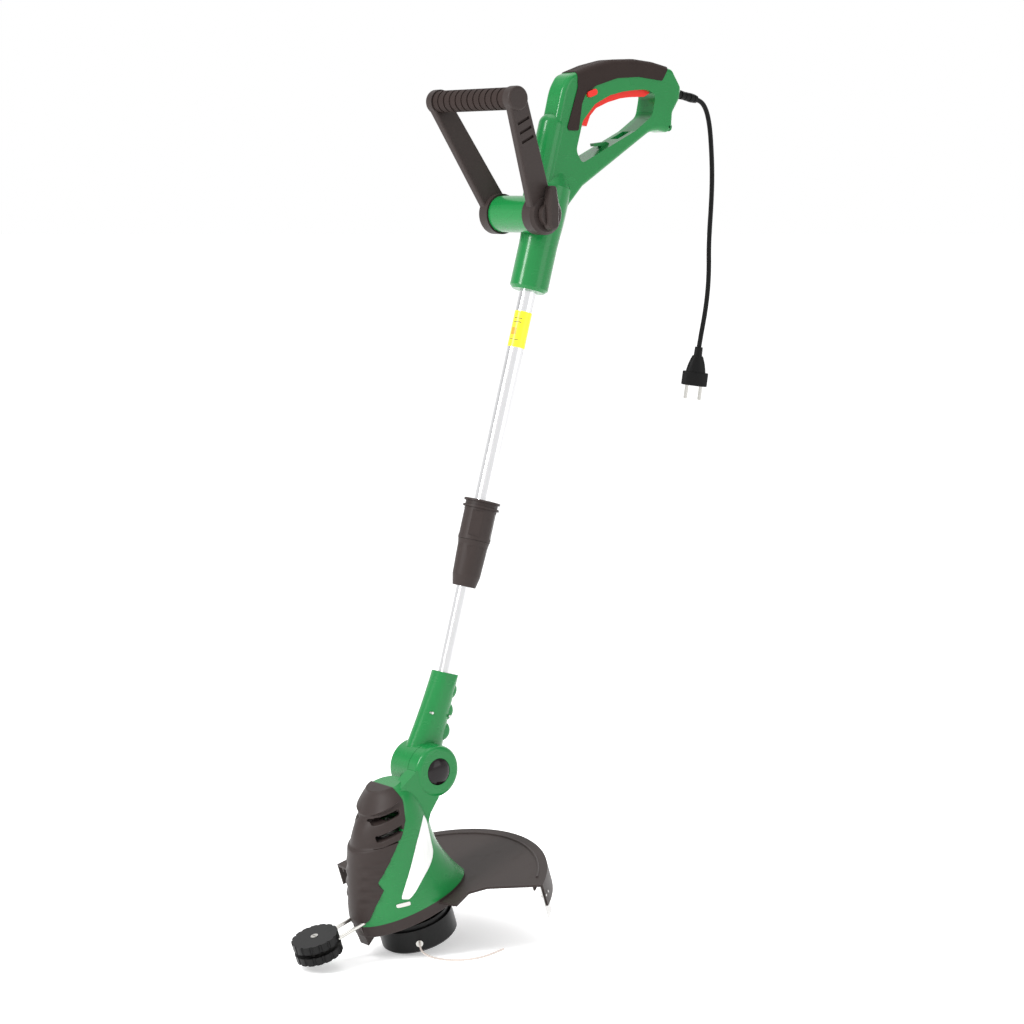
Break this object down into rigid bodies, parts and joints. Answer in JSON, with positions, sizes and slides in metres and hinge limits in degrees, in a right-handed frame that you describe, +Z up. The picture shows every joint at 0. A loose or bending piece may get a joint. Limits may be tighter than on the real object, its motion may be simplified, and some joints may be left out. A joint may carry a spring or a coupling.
{
  "type": "string trimmer",
  "caption": "Corded grass trimmer: D grip and loop handle on a telescopic tube, tilting motor head with line spool, guard and edge wheel.",
  "frame": {"origin": "middle of the rear D grip, where the hand holds it", "axes": "+Z up, as the tool stands in use; -Y forwards, where the guide wheel is; +X the tool's left side, with the loop handle's knob and the tilt button"},
  "size_m": [0.3438, 0.6881, 1.1346],
  "materials": {
    "green_plastic": "moulded, satin gloss",
    "dark_plastic": "moulded, fine grain",
    "soft_grip": "soft overmould",
    "black_plastic": "moulded, fine grain",
    "red_plastic": "moulded gloss",
    "bright_tube": "bright drawn",
    "steel": "zinc plated",
    "chrome": "plated",
    "brass": "plain",
    "copper_winding": "lacquered",
    "button_dark": "polished",
    "cord_rubber": "flexible sheath",
    "line_nylon": "drawn nylon",
    "magnet": "sintered"
  },
  "bodies": {
    "handle": {"handle_left": "green_plastic", "handle_right": "green_plastic", "grip_overmould": "soft_grip", "handle_screws": "steel", "trigger_pin": "steel", "switch_body": "black_plastic", "upper_tube": "bright_tube", "clamp_body": "dark_plastic", "cord_gland": "cord_rubber", "inner_cable": "cord_rubber", "mains_cord": "cord_rubber", "plug_body": "cord_rubber", "plug_pins": "chrome"},
    "trigger": {"trigger": "red_plastic"},
    "lock_button": {"lock_button": "red_plastic"},
    "loop_handle": {"loop_arm_left": "dark_plastic", "loop_arm_right": "dark_plastic", "loop_bar": "bright_tube", "loop_grip": "soft_grip", "loop_nut": "steel"},
    "loop_knob": {"loop_bolt": "steel", "wing_knob": "dark_plastic"},
    "clamp_nut": {"clamp_nut": "dark_plastic"},
    "tube_slider": {"tube_bush": "dark_plastic"},
    "lower_shaft": {"lower_tube": "bright_tube", "neck_left": "green_plastic", "neck_right": "green_plastic", "neck_screws": "steel", "tilt_pin": "steel"},
    "head": {"housing_left": "green_plastic", "housing_right": "green_plastic", "motor_cover": "dark_plastic", "housing_screws": "steel", "head_base": "dark_plastic", "guard": "dark_plastic", "guard_screws": "steel", "line_cutter": "steel", "cutter_rivets": "steel", "wheel_wire": "chrome", "motor_can": "steel", "motor_bearings": "steel", "field_magnets": "magnet", "brush_holders": "brass", "tilt_spring": "steel"},
    "tilt_button": {"tilt_button": "button_dark"},
    "rotor": {"motor_shaft": "steel", "armature": "copper_winding", "commutator": "brass", "cooling_fan": "black_plastic", "spool_base": "black_plastic", "spool_cap": "black_plastic", "line_eyelet": "chrome", "line_bobbin": "black_plastic", "wound_line": "line_nylon", "cutting_line": "line_nylon", "bump_spring": "steel"},
    "bump_button": {"bump_button": "black_plastic"},
    "guide_wheel": {"wheel_upper": "black_plastic", "wheel_lower": "black_plastic", "wheel_screw": "chrome"}
  },
  "joints": [
    {"name": "trigger_pull", "type": "hinge", "parent": "handle", "child": "trigger", "pos_m": [0, 0.03517, -0.0228], "axis": [-1, 0, 0], "range_deg": [0, 4.5], "stiffness_Nm_per_rad": 2, "springref_deg": -2.86},
    {"name": "lock_press", "type": "slide", "parent": "handle", "child": "lock_button", "axis": [-1, 0, 0], "range_m": [0, 0.0025], "stiffness_N_per_m": 300, "springref_m": -0.001},
    {"name": "loop_tilt", "type": "hinge", "parent": "handle", "child": "loop_handle", "pos_m": [0, -0.17044, -0.18467], "axis": [1, 0, 0], "range_deg": [-30, 60]},
    {"name": "loop_knob_turn", "type": "hinge", "parent": "loop_handle", "child": "loop_knob", "pos_m": [0, -0.17044, -0.18467], "axis": [1, 0, 0], "range_deg": [0, 180]},
    {"name": "clamp_turn", "type": "hinge", "parent": "handle", "child": "clamp_nut", "pos_m": [0, -0.25376, -0.62997], "axis": [0, 0.2689, 0.9632], "range_deg": [0, 120]},
    {"name": "tube_slide", "type": "slide", "parent": "handle", "child": "tube_slider", "axis": [0, 0.2689, 0.9632], "range_m": [-0.09, 0.1]},
    {"name": "shaft_turn", "type": "hinge", "parent": "tube_slider", "child": "lower_shaft", "pos_m": [0, -0.25376, -0.62997], "axis": [0, 0.2689, 0.9632], "range_deg": [0, 180]},
    {"name": "head_tilt", "type": "hinge", "parent": "lower_shaft", "child": "head", "pos_m": [0, -0.32518, -0.88578], "axis": [1, 0, 0], "range_deg": [-30, 45]},
    {"name": "tilt_press", "type": "slide", "parent": "head", "child": "tilt_button", "axis": [-1, 0, 0], "range_m": [0, 0.003], "stiffness_N_per_m": 500, "springref_m": -0.002},
    {"name": "rotor_spin", "type": "hinge", "parent": "head", "child": "rotor", "pos_m": [0, -0.36561, -1.00406], "axis": [0, -0.309, 0.9511], "continuous": true},
    {"name": "bump_press", "type": "slide", "parent": "rotor", "child": "bump_button", "axis": [0, -0.309, 0.9511], "range_m": [0, 0.005], "stiffness_N_per_m": 800, "springref_m": -0.003},
    {"name": "wheel_spin", "type": "hinge", "parent": "head", "child": "guide_wheel", "pos_m": [0, -0.49162, -1.0887], "axis": [0, -0.309, 0.9511], "continuous": true}
  ]
}
